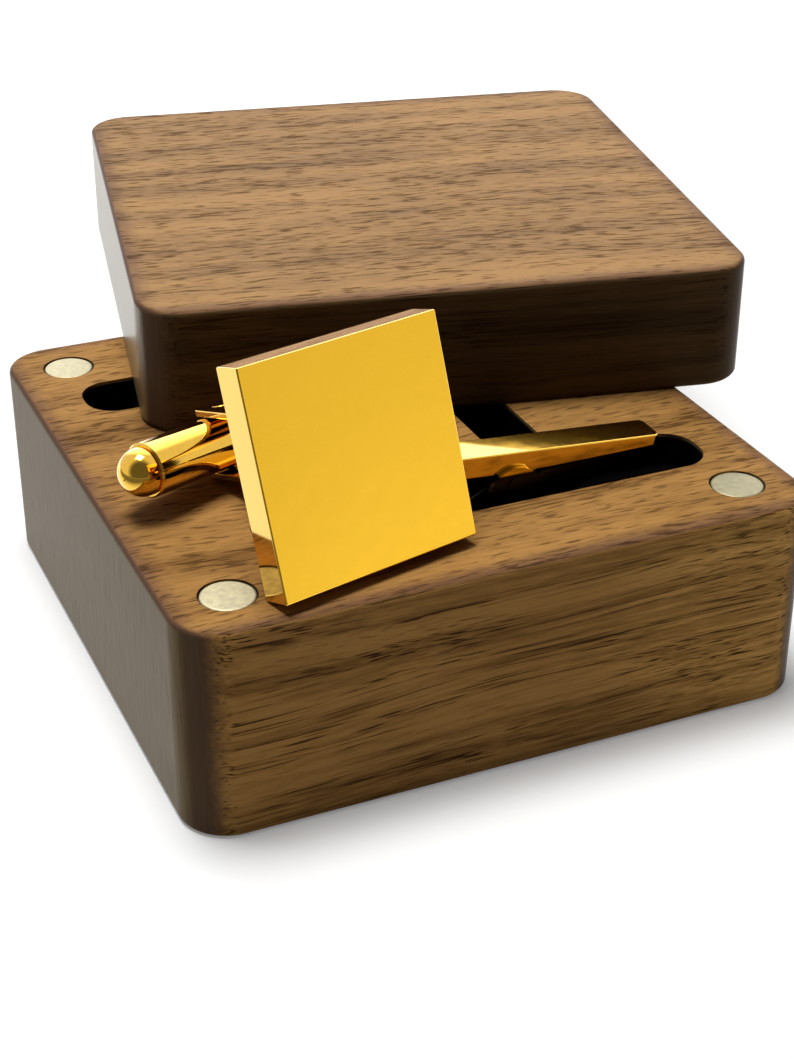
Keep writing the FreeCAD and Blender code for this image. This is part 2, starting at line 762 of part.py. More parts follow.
def check_and_write(pieces):
    doc.recompute()
    for obj in doc.Objects:
        if any(word in obj.State for word in ("Invalid", "Error")):
            raise RuntimeError(f"{obj.Label} failed: {obj.State}")
    for piece in pieces:
        if piece.Shape.isNull() or not piece.Shape.isValid():
            raise RuntimeError(f"{piece.Label} has no valid shape")
    os.makedirs("parts", exist_ok=True)
    for piece in pieces:
        piece.Shape.exportStep(f"parts/{piece.Label}.step")
        print(piece.Label, len(piece.Shape.Solids), round(piece.Shape.Volume, 2))


pieces = make_all()
check_and_write(pieces)

# Places of the joints and the lid, for reading off
print("lid", tuple(round(v, 4) for v in lid_place().Base))
pin = clip_place().Base
print("jaw hinge", tuple(round(v, 4) for v in pin), tuple(
    round(v, 6) for v in clip_place().Rotation.multVec(Y_AXIS)))
swing = cufflink_place() * pivot_place()
print("toggle pivot", tuple(round(v, 4) for v in swing.Base), tuple(
    round(v, 6) for v in swing.Rotation.multVec(Z_AXIS)))
print("cufflink lean", round(cufflink_lean(), 3))
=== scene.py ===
"""Looks of a walnut cufflink box: base with a lined recess, lid, magnets, a gold cufflink and a tie clip."""

import json
import math
from types import SimpleNamespace

import bpy
import numpy as np
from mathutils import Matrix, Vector


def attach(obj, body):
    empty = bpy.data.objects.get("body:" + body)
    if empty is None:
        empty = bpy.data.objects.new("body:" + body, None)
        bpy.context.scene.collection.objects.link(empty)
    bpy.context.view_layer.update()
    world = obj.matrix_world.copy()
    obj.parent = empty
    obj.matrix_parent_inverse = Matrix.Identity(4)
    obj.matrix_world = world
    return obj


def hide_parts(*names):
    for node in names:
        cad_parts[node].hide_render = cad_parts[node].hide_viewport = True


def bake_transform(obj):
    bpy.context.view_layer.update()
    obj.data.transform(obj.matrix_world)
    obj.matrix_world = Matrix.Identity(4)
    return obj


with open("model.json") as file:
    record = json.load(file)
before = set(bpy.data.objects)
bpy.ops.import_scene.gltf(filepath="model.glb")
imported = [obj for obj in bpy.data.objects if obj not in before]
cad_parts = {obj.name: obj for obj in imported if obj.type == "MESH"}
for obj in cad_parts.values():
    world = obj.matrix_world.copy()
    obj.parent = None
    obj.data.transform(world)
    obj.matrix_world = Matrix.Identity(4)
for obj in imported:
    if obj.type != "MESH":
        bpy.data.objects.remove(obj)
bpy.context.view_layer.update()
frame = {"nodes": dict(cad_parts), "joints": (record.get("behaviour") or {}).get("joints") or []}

bl_info = {
    "name": "Walnut cufflink box",
    "version": (1, 0, 0),
    "blender": (4, 5, 0),
    "location": "View3D > Sidebar > Cufflink box",
    "description": "Dresses the packed cufflink box with walnut, gold, nickel and black lining",
    "category": "Object",
}

MM = 0.001
CORNERS = ("front_left", "front_right", "rear_left", "rear_right")
BLACK = (0.0, 0.0, 0.0, 1.0)
WHITE = (1.0, 1.0, 1.0, 1.0)
# Shifts of the noise, in millimetres, so that the two blocks differ
BASE_SEED = (0.0, 0.0, 0.0)
LID_SEED = (31.0, 17.0, 9.0)
# Share of a radius between a rounding and the points beside it that keep the flats flat
LEAD = 0.15
# Noises of the wood: cells per millimetre along, across and up the grain, then detail and roughness
GRAIN = {
    "layers": ((0.014, 0.26, 0.36), 3.0, 0.55),
    "cloud": ((0.09, 0.16, 0.20), 2.0, 0.50),
    "fibres": ((0.34, 4.2, 4.8), 3.0, 0.65),
    "streaks": ((0.030, 1.5, 1.9), 3.0, 0.60),
    "patches": ((0.045, 0.55, 0.65), 1.0, 0.50),
    "long_pores": ((0.060, 5.4, 5.8), 1.0, 0.50),
    "short_pores": ((0.42, 2.9, 3.2), 2.0, 0.50),
}
SANDING = ((4.0, 3.0, 0.22), 3.0, 0.60)
SPECKLE = ((1.1, 1.1, 1.1), 3.0, 0.60)
# Noises of the metals and of the lining's nap, in the same order
METAL_WEAR = ((2.0, 2.0, 2.0), 4.0, 0.60)
METAL_WAVE = ((0.35, 0.35, 0.35), 1.0, 0.50)
PLATE_WEAR = ((1.6, 1.6, 1.6), 4.0, 0.60)
PLATE_WAVE = ((0.30, 0.30, 0.30), 1.0, 0.50)
NAP = ((9.0, 9.0, 9.0), 2.0, 0.50)
# Colours between the lining's fibres and at their tips
NAP_ROOT = (0.0005, 0.0005, 0.0005, 1.0)
NAP_TIP = (0.004, 0.0036, 0.0036, 1.0)
# Shares by which wear changes the roughness of the metals and of the plate, and of fine wear in the relief
METAL_WEAR_SHARE = 0.6
PLATE_WEAR_SHARE = 0.3
WEAR_RELIEF = 0.04
# Cosines to the plate's direction where its satin face starts and is full
SATIN_FADE = (0.96, 0.995)
# Depth of the waves in the polish
WAVE_DEPTH = 0.03 * MM
# Half of the soft border between the gold and the painted shade below it, and how many times rougher the
# shaded part is
BORDER = 0.05 * MM
LOWER_ROUGHNESS = 4
# Where the smooth steps of the wood's zones, layers and pores start and are full
STEP = {
    "end": (0.30, 0.74),
    "painted_sheen_end_face": (0.84, 0.99),
    "top": (0.45, 0.85),
    "side": (0.55, 0.85),
    "layers": (0.22, 0.74),
    "patches": (0.28, 0.58),
    "long_pores": (0.56, 0.68),
    "short_pores": (0.50, 0.68),
}
# Gains of the noises in the wood's tone, and of the layers in the number of its pores
GAIN = {"fibres": 1.7, "cloud": 0.9, "streaks": 2.2, "density": 0.30}
# How far the speckle moves the ends' border, as part of a direction, and the rims', in millimetres
END_SPECKLE = 0.20
RIM_SPECKLE = 1.6
# How far inside the block's side, in millimetres, its rims are full
RIM_FULL = 0.2
# Shares of half the block's side where the painted light on its long sides starts and is full
PAINTED_LIGHT_SPAN = (0.1, 0.9)
# Gain and offset that turn the sanding noise into marks
MARKS = (2.8, -0.4)
# Shares of pores, rims and sanding marks in the wood's colour, relief and roughness
PORE_SHADE = 0.88
SHORT_PORE_SHADE = 0.72
RIM_SHADE = 0.6
SANDING_SHADE = 0.45
FIBRE_RELIEF = 0.45
SANDING_RELIEF = 0.35
PORE_ROUGHNESS = 0.3
# Slow drift that bends the grain: cells per millimetre, and millimetres along, across and up
DRIFT_CELLS = (0.02, 0.06, 0.06)
DRIFT_REACH = (0.0, 5.5, 5.5)
# Where the soft lamp hangs
LAMP_PLACE = (-0.06, 0.08, 0.62)
# Direction from which the sky's light is strongest, and the cosines to it where it starts and is full
SKY_AIM = (-0.20, 0.38, 0.90)
SKY_FADE = (-0.10, 0.90)
# Direction of the viewer's side, where the reflections hold a dark card, and the cosines of its soft edge
CARD_AIM = (-0.37, -0.80, 0.47)
CARD_FADE = (0.42, 0.80)
# Direction of the bright backdrop in the reflections, and the cosines of its soft edge
BACKDROP_AIM = (0.37, 0.80, 0.47)
BACKDROP_FADE = (0.72, 0.93)
# Direction on the floor where the reflections darken, and the distances over which they do
SHADE_AIM = (-0.75, -0.66, 0.0)
SHADE_FADE = (0.03, 0.09)


class StageSettings(bpy.types.PropertyGroup):
    """Camera, lamp, sky and floor."""

    camera_place: bpy.props.FloatVectorProperty(
        name="Camera place", description="Where the camera stands",
        default=(-0.06734, -0.15761, 0.10453), subtype="TRANSLATION", unit="LENGTH")
    camera_turn: bpy.props.FloatVectorProperty(
        name="Camera turn", description="Turn of the camera about X, Y and Z",
        default=(math.radians(60.741), math.radians(-0.039), math.radians(-23.542)),
        subtype="EULER", unit="ROTATION")
    lens: bpy.props.FloatProperty(
        name="Lens", description="Focal length on a 36 mm sensor, in millimetres",
        default=67.67, min=10.0)
    floor_side: bpy.props.FloatProperty(
        name="Floor side", description="Side of the square floor",
        default=4.0, unit="LENGTH")
    floor_colour: bpy.props.FloatVectorProperty(
        name="Floor colour", description="Colour of the floor where it is seen",
        default=(0.84, 0.84, 0.83), subtype="COLOR")
    floor_bounce: bpy.props.FloatVectorProperty(
        name="Floor bounce", description="Colour of the floor in the light that it throws back",
        default=(0.66, 0.66, 0.64), subtype="COLOR")
    floor_lift: bpy.props.FloatProperty(
        name="Floor lift", description="Glow that takes the lit floor up to white where it is seen",
        default=0.20, min=0.0)
    fade_near: bpy.props.FloatProperty(
        name="White from", description="Distance from the box where the floor starts to fade into white",
        default=0.07, unit="LENGTH")
    fade_far: bpy.props.FloatProperty(
        name="White beyond", description="Distance from the box where the floor is all white",
        default=0.40, unit="LENGTH")
    floor_gleam: bpy.props.FloatProperty(
        name="Floor gleam", description="Extra brightness of the floor in reflections",
        default=0.35, min=0.0)
    sky_front: bpy.props.FloatProperty(
        name="Sky in front", description="Strength of the soft light from the viewer's side",
        default=0.012, min=0.0)
    sky_rear: bpy.props.FloatProperty(
        name="Sky above", description="Strength of the soft light from above and behind",
        default=0.17, min=0.0)
    top_power: bpy.props.FloatProperty(
        name="Top lamp power", description="Power of the soft lamp overhead",
        default=3.95, unit="POWER")
    lamp_size: bpy.props.FloatProperty(
        name="Top lamp size", description="Side of the soft lamp overhead",
        default=0.26, unit="LENGTH")
    dark_card: bpy.props.FloatProperty(
        name="Dark card", description="How much the reflections darken towards the viewer's side",
        default=0.85, min=0.0, max=1.0)
    backdrop_gleam: bpy.props.FloatProperty(
        name="Backdrop gleam", description="Extra brightness of the backdrop in reflections",
        default=2.0, min=0.0)


class WalnutSettings(bpy.types.PropertyGroup):
    """Colours and grain of the walnut."""

    pale: bpy.props.FloatVectorProperty(
        name="Pale wood", description="Colour of the paler layers",
        default=(0.430, 0.222, 0.066), subtype="COLOR")
    deep: bpy.props.FloatVectorProperty(
        name="Deep wood", description="Colour of the darker layers",
        default=(0.215, 0.104, 0.030), subtype="COLOR")
    pore: bpy.props.FloatVectorProperty(
        name="Pore", description="Colour inside the open pores",
        default=(0.030, 0.013, 0.006), subtype="COLOR")
    end_grain: bpy.props.FloatVectorProperty(
        name="End grain", description="Colour of the end grain round the corners",
        default=(0.125, 0.074, 0.044), subtype="COLOR")
    # Painted sheen: the flat end faces' colour is lighter and greyer than the sanded wood, standing for the
    # grey sheen they show at grazing angles
    painted_sheen_end_face: bpy.props.FloatVectorProperty(
        name="End face", description="Colour of the flat, finely sanded end faces",
        default=(0.228, 0.159, 0.076), subtype="COLOR")
    # Painted light: the base's long sides are brightened towards their right end, standing for light from
    # the right front
    painted_side_light: bpy.props.FloatVectorProperty(
        name="Sapwood", description="How much brighter the wood is at the pale end of the base's long sides",
        default=(1.70, 1.80, 1.75))
    # Painted sheen: a grey mixed into the lid's colour, standing for the grey sheen on its top
    painted_sheen_grey: bpy.props.FloatVectorProperty(
        name="Haze", description="Colour of the greyish bloom on the lid",
        default=(0.360, 0.290, 0.220), subtype="COLOR")
    rim_dark: bpy.props.FloatVectorProperty(
        name="Rounded edge", description="Colour of the rounded rims",
        default=(0.135, 0.068, 0.048), subtype="COLOR")
    roughness: bpy.props.FloatProperty(
        name="Roughness", description="Roughness of the oiled surface",
        default=0.44, min=0.0, max=1.0)
    end_roughness: bpy.props.FloatProperty(
        name="End roughness", description="Roughness of the sanded end faces",
        default=0.30, min=0.0, max=1.0)
    gloss: bpy.props.FloatProperty(
        name="Gloss", description="Specular level of the oiled surface", default=0.015, min=0.0, max=1.0)
    base_gloss: bpy.props.FloatProperty(
        name="Base end gloss", description="Specular level of the base's end faces",
        default=0.020, min=0.0, max=1.0)
    lid_gloss: bpy.props.FloatProperty(
        name="Lid end gloss", description="Specular level of the lid's end faces",
        default=0.50, min=0.0, max=1.0)
    lid_turn: bpy.props.FloatProperty(
        name="Lid turn", description="Turn of the lid's grain about Z",
        default=math.radians(11.6), unit="ROTATION")
    # Share of the painted sheen grey in the lid's colour
    lid_painted_sheen_share: bpy.props.FloatProperty(
        name="Lid bloom", description="Share of the haze on the lid", default=0.18, min=0.0, max=1.0)
    # Painted shade: the lid's long sides keep only this share of their colour, standing for the light that
    # does not reach its front
    lid_painted_shade_keep: bpy.props.FloatProperty(
        name="Lid front", description="Share of their colour that the lid's long sides keep",
        default=0.22, min=0.0, max=1.0)
    sheen_tint: bpy.props.FloatVectorProperty(
        name="Sheen tint", description="Colour of the sheen on the wood",
        default=(1.000, 0.860, 0.680), subtype="COLOR")
    rim_width: bpy.props.FloatProperty(
        name="Rim width", description="Breadth of the darker band along the edges",
        default=2.4 * MM, unit="LENGTH")
    pore_depth: bpy.props.FloatProperty(
        name="Pore depth", description="Depth of the open pores",
        default=0.12 * MM, unit="LENGTH")


class MetalSettings(bpy.types.PropertyGroup):
    """Colours and polish of the metal pieces."""

    gold: bpy.props.FloatVectorProperty(
        name="Gold", description="Colour of the gold plating",
        default=(0.800, 0.460, 0.030), subtype="COLOR")
    nickel: bpy.props.FloatVectorProperty(
        name="Nickel", description="Colour of the nickel plating",
        default=(0.365, 0.328, 0.212), subtype="COLOR")
    # Painted shade: the front right magnet gets a darker nickel, standing for its dimmer reflection
    painted_shade_nickel: bpy.props.FloatVectorProperty(
        name="Dull nickel", description="Colour of the duller plating on the front right magnet",
        default=(0.232, 0.210, 0.130), subtype="COLOR")
    # Painted shade: the jaw below the bar, the spring and the hinge rivet are near black, standing for the
    # deep shade in the slot
    painted_shade: bpy.props.FloatVectorProperty(
        name="Burnt bronze", description="Colour of the tie clip's jaw and spring below the bar",
        default=(0.022, 0.014, 0.007), subtype="COLOR")
    steel: bpy.props.FloatVectorProperty(
        name="Steel", description="Colour of the spring steel",
        default=(0.560, 0.560, 0.570), subtype="COLOR")
    satin: bpy.props.FloatProperty(
        name="Satin", description="Roughness of the satin face", default=0.26, min=0.0, max=1.0)
    polish: bpy.props.FloatProperty(
        name="Polish", description="Roughness of the polished metal", default=0.07, min=0.0, max=1.0)
    clip_polish: bpy.props.FloatProperty(
        name="Clip polish", description="Roughness of the tie clip's gold", default=0.112, min=0.0, max=1.0)
    lacquer: bpy.props.FloatProperty(
        name="Lacquer", description="Weight of the clear lacquer over the gold",
        default=0.8, min=0.0, max=1.0)
    nickel_roughness: bpy.props.FloatProperty(
        name="Nickel roughness", description="Roughness of the magnets", default=0.52, min=0.0, max=1.0)
    nickel_blotch: bpy.props.FloatProperty(
        name="Nickel blotch", description="Share by which the magnets' colour varies",
        default=0.55, min=0.0, max=1.0)
    # Roughness of the metal that holds the painted shade
    painted_shade_roughness: bpy.props.FloatProperty(
        name="Burnt roughness", description="Roughness of the burnt bronze", default=0.30, min=0.0, max=1.0)
    steel_roughness: bpy.props.FloatProperty(
        name="Steel roughness", description="Roughness of the spring steel", default=0.25, min=0.0, max=1.0)
    plate_edge: bpy.props.FloatProperty(
        name="Plate edge", description="Rounding of the cufflink plate's edges",
        default=0.12 * MM, unit="LENGTH")
    strip: bpy.props.FloatProperty(
        name="Strip thickness", description="Thickness of the yoke's strip",
        default=0.6 * MM, unit="LENGTH")
    strip_corner: bpy.props.FloatProperty(
        name="Strip corner", description="Radius of the corners at the strip's tips",
        default=0.8 * MM, unit="LENGTH")
    strip_edge: bpy.props.FloatProperty(
        name="Strip edge", description="Rounding of the strip's edges",
        default=0.10 * MM, unit="LENGTH")
    yoke_bend: bpy.props.FloatProperty(
        name="Yoke bend", description="Radius of the strip's bends at mid thickness",
        default=1.3 * MM, unit="LENGTH")
    rivet_dome: bpy.props.FloatProperty(
        name="Rivet dome", description="Rise of the cufflink rivet's heads",
        default=0.12 * MM, unit="LENGTH")
    rivet_head: bpy.props.FloatProperty(
        name="Rivet head", description="Radius of the cufflink rivet's heads",
        default=0.80 * MM, unit="LENGTH")
    # Below this height the jaw holds the painted shade
    painted_shade_top: bpy.props.FloatProperty(
        name="Plated from", description="Height above the hinge where the gold of the jaw's ears starts",
        default=1.06 * MM, unit="LENGTH")
    bar_slope: bpy.props.FloatProperty(
        name="Bar slope", description="Fall of the bar's underside towards its tip, per unit of length",
        default=0.03)
    hinge_dome: bpy.props.FloatProperty(
        name="Hinge dome", description="Rise of the hinge rivet's heads",
        default=0.03 * MM, unit="LENGTH")
    hinge_head: bpy.props.FloatProperty(
        name="Hinge head", description="Radius of the hinge rivet's heads",
        default=0.75 * MM, unit="LENGTH")
    spring_wire: bpy.props.FloatProperty(
        name="Spring wire", description="Diameter of the tie clip spring's wire",
        default=0.34 * MM, unit="LENGTH")
    spring_radius: bpy.props.FloatProperty(
        name="Spring radius", description="Radius of the spring's coil at mid wire",
        default=0.76 * MM, unit="LENGTH")
    spring_step: bpy.props.FloatProperty(
        name="Spring step", description="Distance between the spring's turns",
        default=0.8 * MM, unit="LENGTH")
    spring_splay: bpy.props.FloatProperty(
        name="Spring splay", description="Fall of the leg that rests on the jaw",
        default=math.radians(25.0), unit="ROTATION")
    spring_rise: bpy.props.FloatProperty(
        name="Spring rise", description="Rise of the leg that lies under the bar",
        default=math.radians(5.5), unit="ROTATION")
    jaw_leg: bpy.props.FloatProperty(
        name="Jaw leg", description="Length of the leg that rests on the jaw",
        default=6.155 * MM, unit="LENGTH")
    bar_leg: bpy.props.FloatProperty(
        name="Bar leg", description="Length of the leg that lies under the bar",
        default=5.0 * MM, unit="LENGTH")


def shade(tree, kind, inputs=None, **settings):
    """Add one shader node, with its settings, and its inputs as values or as other nodes' outputs."""
    node = tree.nodes.new("ShaderNode" + kind)
    for key, value in settings.items():
        setattr(node, key, value)
    for key, value in (inputs or {}).items():
        if isinstance(value, bpy.types.NodeSocket):
            tree.links.new(value, node.inputs[key])
        else:
            node.inputs[key].default_value = value
    return node


def maths(tree, operation, first, second=0.0, third=0.0, clamp=False):
    """One Math node's output."""
    inputs = {0: first, 1: second, 2: third}
    return shade(tree, "Math", inputs, operation=operation, use_clamp=clamp).outputs[0]


def ramp(tree, factor, low, high):
    """Smooth step of a value from 0 at low to 1 at high."""
    node = shade(tree, "MapRange", {"Value": factor, "From Min": low, "From Max": high},
                 interpolation_type="SMOOTHSTEP")
    return node.outputs["Result"]


def mix_colour(tree, factor, first, second, mode="MIX"):
    """Mix of two colours."""
    node = shade(tree, "Mix", {0: factor, 6: first, 7: second}, data_type="RGBA", blend_type=mode)
    return node.outputs[2]


def mix_value(tree, factor, first, second):
    """Mix of two values."""
    return shade(tree, "Mix", {0: factor, 2: first, 3: second}, data_type="FLOAT").outputs[0]


def centred(tree, value, gain):
    """A noise about its middle of one half, times a gain."""
    return maths(tree, "MULTIPLY", maths(tree, "SUBTRACT", value, 0.5), gain)


def dot(tree, vector, way):
    """Part of a vector along a direction."""
    return shade(tree, "VectorMath", {0: vector, 1: tuple(way)}, operation="DOT_PRODUCT").outputs["Value"]


def noise(tree, vector, cells, detail, roughness):
    """Noise on a vector stretched by three scales, in cells per millimetre."""
    stretched = shade(tree, "Mapping", {"Vector": vector, "Scale": cells})
    node = shade(tree, "TexNoise", {"Vector": stretched.outputs[0], "Scale": 1.0, "Detail": detail,
                                    "Roughness": roughness})
    return node.outputs["Fac"]


def new_material(name):
    """Empty node material with its Principled shader wired to the output."""
    material = bpy.data.materials.new(name)
    material.use_nodes = True
    tree = material.node_tree
    tree.nodes.clear()
    principled = shade(tree, "BsdfPrincipled")
    shade(tree, "OutputMaterial", {"Surface": principled.outputs[0]})
    return material, tree, principled


def millimetres(tree, turn=0.0, shift=(0.0, 0.0, 0.0)):
    """Object coordinates in millimetres, turned about Z and shifted."""
    place = shade(tree, "TexCoord").outputs["Object"]
    scale = (1 / MM,) * 3
    return shade(tree, "Mapping", {"Vector": place, "Rotation": (0.0, 0.0, turn), "Scale": scale,
                                   "Location": shift}).outputs[0]


def absolute_parts(tree, vector):
    """Absolute X, Y and Z of a vector."""
    return [maths(tree, "ABSOLUTE", part) for part in shade(tree, "SeparateXYZ", {0: vector}).outputs]


def facing(tree, turn):
    """Absolute parts of the surface's direction along the grain's X, Y and Z."""
    normal = shade(tree, "TexCoord").outputs["Normal"]
    grain_normal = shade(tree, "Mapping", {"Vector": normal, "Rotation": (0.0, 0.0, turn)})
    return absolute_parts(tree, grain_normal.outputs[0])


def block_frame(node, turn):
    """Middle of a block that is turned about Z, along its own axes, and half of its side."""
    cosine, sine = math.cos(turn), math.sin(turn)
    axes = np.array([[cosine, -sine, 0.0], [sine, cosine, 0.0], [0.0, 0.0, 1.0]])
    low, high = span(node, axes)
    return (low + high) / 2, (high[0] - low[0]) / 2


def wood_zones(tree, place, half, turn, rim_width):
    """Shares of a block's zones: ends, flat end faces with a painted sheen, tops, long sides, rims and the
    block's right, where a painted light falls on the long sides.

    A zone is a smooth step of the surface's direction or of the place. A speckle makes ends and rims ragged.
    """
    along, across, up = facing(tree, turn)
    from_x, from_y, _ = absolute_parts(tree, place)
    speckle = noise(tree, place, *SPECKLE)
    ragged = maths(tree, "MULTIPLY_ADD", speckle, END_SPECKLE, along)
    reach = maths(tree, "MULTIPLY_ADD", speckle, RIM_SPECKLE, maths(tree, "MAXIMUM", from_x, from_y))
    to_right = shade(tree, "SeparateXYZ", {0: place}).outputs["X"]
    side_reach = half / MM + RIM_SPECKLE / 2
    sap_start, sap_full = (share * half / MM for share in PAINTED_LIGHT_SPAN)
    return SimpleNamespace(
        end=ramp(tree, ragged, *STEP["end"]),
        painted_sheen_end_face=ramp(tree, along, *STEP["painted_sheen_end_face"]),
        top=ramp(tree, up, *STEP["top"]),
        side=ramp(tree, across, *STEP["side"]),
        rim=ramp(tree, reach, side_reach - rim_width / MM, side_reach - RIM_FULL),
        right=ramp(tree, to_right, sap_start, sap_full))


def wood_grain(tree, place, seed):
    """The wood's noises on a place that is shifted by a seed and bent by a slow drift."""
    planted = shade(tree, "VectorMath", {0: place, 1: seed}, operation="ADD").outputs[0]
    drift = shade(tree, "Mapping", {"Vector": planted, "Scale": DRIFT_CELLS}).outputs[0]
    bend = shade(tree, "TexNoise", {"Vector": drift, "Scale": 1.0, "Detail": 1.0}).outputs["Color"]
    offset = shade(tree, "VectorMath", {0: bend, 1: DRIFT_REACH}, operation="MULTIPLY").outputs[0]
    grain = shade(tree, "VectorMath", {0: planted, 1: offset}, operation="ADD").outputs[0]
    return SimpleNamespace(**{name: noise(tree, grain, *values) for name, values in GRAIN.items()})


def wood_pores(tree, grain, zones):
    """Depth of the open pores: long and in patches on the sides, short on the tops, none on the ends."""
    density = centred(tree, grain.layers, GAIN["density"])
    long_depth = ramp(tree, maths(tree, "SUBTRACT", grain.long_pores, density), *STEP["long_pores"])
    long_mask = maths(tree, "MULTIPLY", long_depth, ramp(tree, grain.patches, *STEP["patches"]))
    short_depth = ramp(tree, maths(tree, "SUBTRACT", grain.short_pores, density), *STEP["short_pores"])
    short_mask = maths(tree, "MULTIPLY", short_depth, SHORT_PORE_SHADE)
    open_pores = mix_value(tree, zones.top, long_mask, short_mask)
    return maths(tree, "MULTIPLY", open_pores, maths(tree, "SUBTRACT", 1.0, zones.end))


def wood_tone(tree, grain, zones):
    """Tone from deep to pale: layers, fibres and clouds, and on the long sides also streaks."""
    layered = ramp(tree, grain.layers, *STEP["layers"])
    fibrous = maths(tree, "ADD", layered, centred(tree, grain.fibres, GAIN["fibres"]))
    clouded = maths(tree, "ADD", fibrous, centred(tree, grain.cloud, GAIN["cloud"]))
    streaky = maths(tree, "MULTIPLY", centred(tree, grain.streaks, GAIN["streaks"]), zones.side)
    return maths(tree, "ADD", clouded, streaky, clamp=True)


def walnut(name, node, turn, seed, painted_sheen_share, front, painted_light_end, end_gloss):
    """Oiled walnut with its grain along a block's X: layers, fibres and pores are noise drawn out along X.

    The end faces are smooth, with fine upright sanding marks, and the flat ones hold a painted sheen in
    their colour; the rims are darker. The painted_sheen_share is the share of a painted grey sheen on the
    wood, front the share of their colour that the long sides keep under a painted shade, painted_light_end
    the share of a painted light at their right end, and end_gloss the specular level of the end faces.
    """
    wood = bpy.context.scene.cuffbox_walnut
    material, tree, principled = new_material(name)
    middle, half = block_frame(node, turn)
    place = millimetres(tree, turn, tuple(-middle / MM))
    zones = wood_zones(tree, place, half, turn, wood.rim_width)
    grain = wood_grain(tree, place, seed)
    pores = wood_pores(tree, grain, zones)
    sanding = noise(tree, place, *SANDING)

    clear = mix_colour(tree, wood_tone(tree, grain, zones), (*wood.deep, 1.0), (*wood.pale, 1.0))
    # Painted sheen: a share of grey mixed into the block's colour
    sheen_greyed = mix_colour(tree, painted_sheen_share, clear, (*wood.painted_sheen_grey, 1.0))
    # Painted shade: the long sides are darkened towards black, keeping the share front of their colour
    shaded = mix_colour(tree, maths(tree, "MULTIPLY", zones.side, 1.0 - front), sheen_greyed, BLACK)
    # Painted light: the long sides are brightened towards the block's right end
    side_lit = maths(tree, "MULTIPLY", maths(tree, "MULTIPLY", zones.right, zones.side), painted_light_end)
    body = mix_colour(tree, side_lit, shaded, (*wood.painted_side_light, 1.0), mode="MULTIPLY")
    # Painted sheen: the flat end faces take a lighter colour that holds their sheen
    end_colour = mix_colour(tree, zones.painted_sheen_end_face, (*wood.end_grain, 1.0), (*wood.painted_sheen_end_face, 1.0))
    between_marks = maths(tree, "MULTIPLY_ADD", sanding, -SANDING_SHADE, SANDING_SHADE)
    sanded = mix_colour(tree, between_marks, end_colour, BLACK)
    faces = mix_colour(tree, zones.end, body, sanded)
    # Darker colour in a band along the top rims
    rim_share = maths(tree, "MULTIPLY", maths(tree, "MULTIPLY", zones.rim, zones.top), RIM_SHADE)
    rimmed = mix_colour(tree, rim_share, faces, (*wood.rim_dark, 1.0))
    colour = mix_colour(tree, maths(tree, "MULTIPLY", pores, PORE_SHADE), rimmed, (*wood.pore, 1.0))

    relief = maths(tree, "SUBTRACT", maths(tree, "MULTIPLY", grain.fibres, FIBRE_RELIEF), pores)
    height = mix_value(tree, zones.end, relief, maths(tree, "MULTIPLY", sanding, SANDING_RELIEF))
    bump = shade(tree, "Bump", {"Height": height, "Distance": wood.pore_depth, "Strength": 0.7})
    oiled = maths(tree, "ADD", wood.roughness, maths(tree, "MULTIPLY", pores, PORE_ROUGHNESS))
    rough = mix_value(tree, zones.end, oiled, wood.end_roughness)
    marks = maths(tree, "MULTIPLY_ADD", sanding, *MARKS, clamp=True)
    gloss = mix_value(tree, zones.painted_sheen_end_face, wood.gloss, maths(tree, "MULTIPLY", marks, end_gloss))
    tree.links.new(colour, principled.inputs["Base Color"])
    tree.links.new(rough, principled.inputs["Roughness"])
    tree.links.new(bump.outputs[0], principled.inputs["Normal"])
    tree.links.new(gloss, principled.inputs["Specular IOR Level"])
    principled.inputs["Specular Tint"].default_value = (*wood.sheen_tint, 1.0)
    return material


def metal(name, colour, roughness, coat=0.0, blotch=0.12):
    """Plated metal with faint wear: its roughness follows a fine noise, and its polish is a little wavy.

    The coat is the weight of a clear lacquer on top, and blotch the share by which the colour varies.
    """
    material, tree, principled = new_material(name)
    place = millimetres(tree)
    fine = noise(tree, place, *METAL_WEAR)
    wave = noise(tree, place, *METAL_WAVE)
    wear = maths(tree, "ADD", 1.0, centred(tree, fine, METAL_WEAR_SHARE))
    rough = maths(tree, "MULTIPLY", wear, roughness)
    height = maths(tree, "MULTIPLY_ADD", fine, WEAR_RELIEF, wave)
    bump = shade(tree, "Bump", {"Height": height, "Distance": WAVE_DEPTH, "Strength": 0.6})
    dull = tuple((1 - blotch) * part for part in colour)
    bright = tuple((1 + blotch) * part for part in colour)
    mottled = mix_colour(tree, fine, (*dull, 1.0), (*bright, 1.0))
    tree.links.new(mottled, principled.inputs["Base Color"])
    principled.inputs["Metallic"].default_value = 1.0
    principled.inputs["Coat Weight"].default_value = coat
    tree.links.new(rough, principled.inputs["Roughness"])
    tree.links.new(bump.outputs[0], principled.inputs["Normal"])
    return material


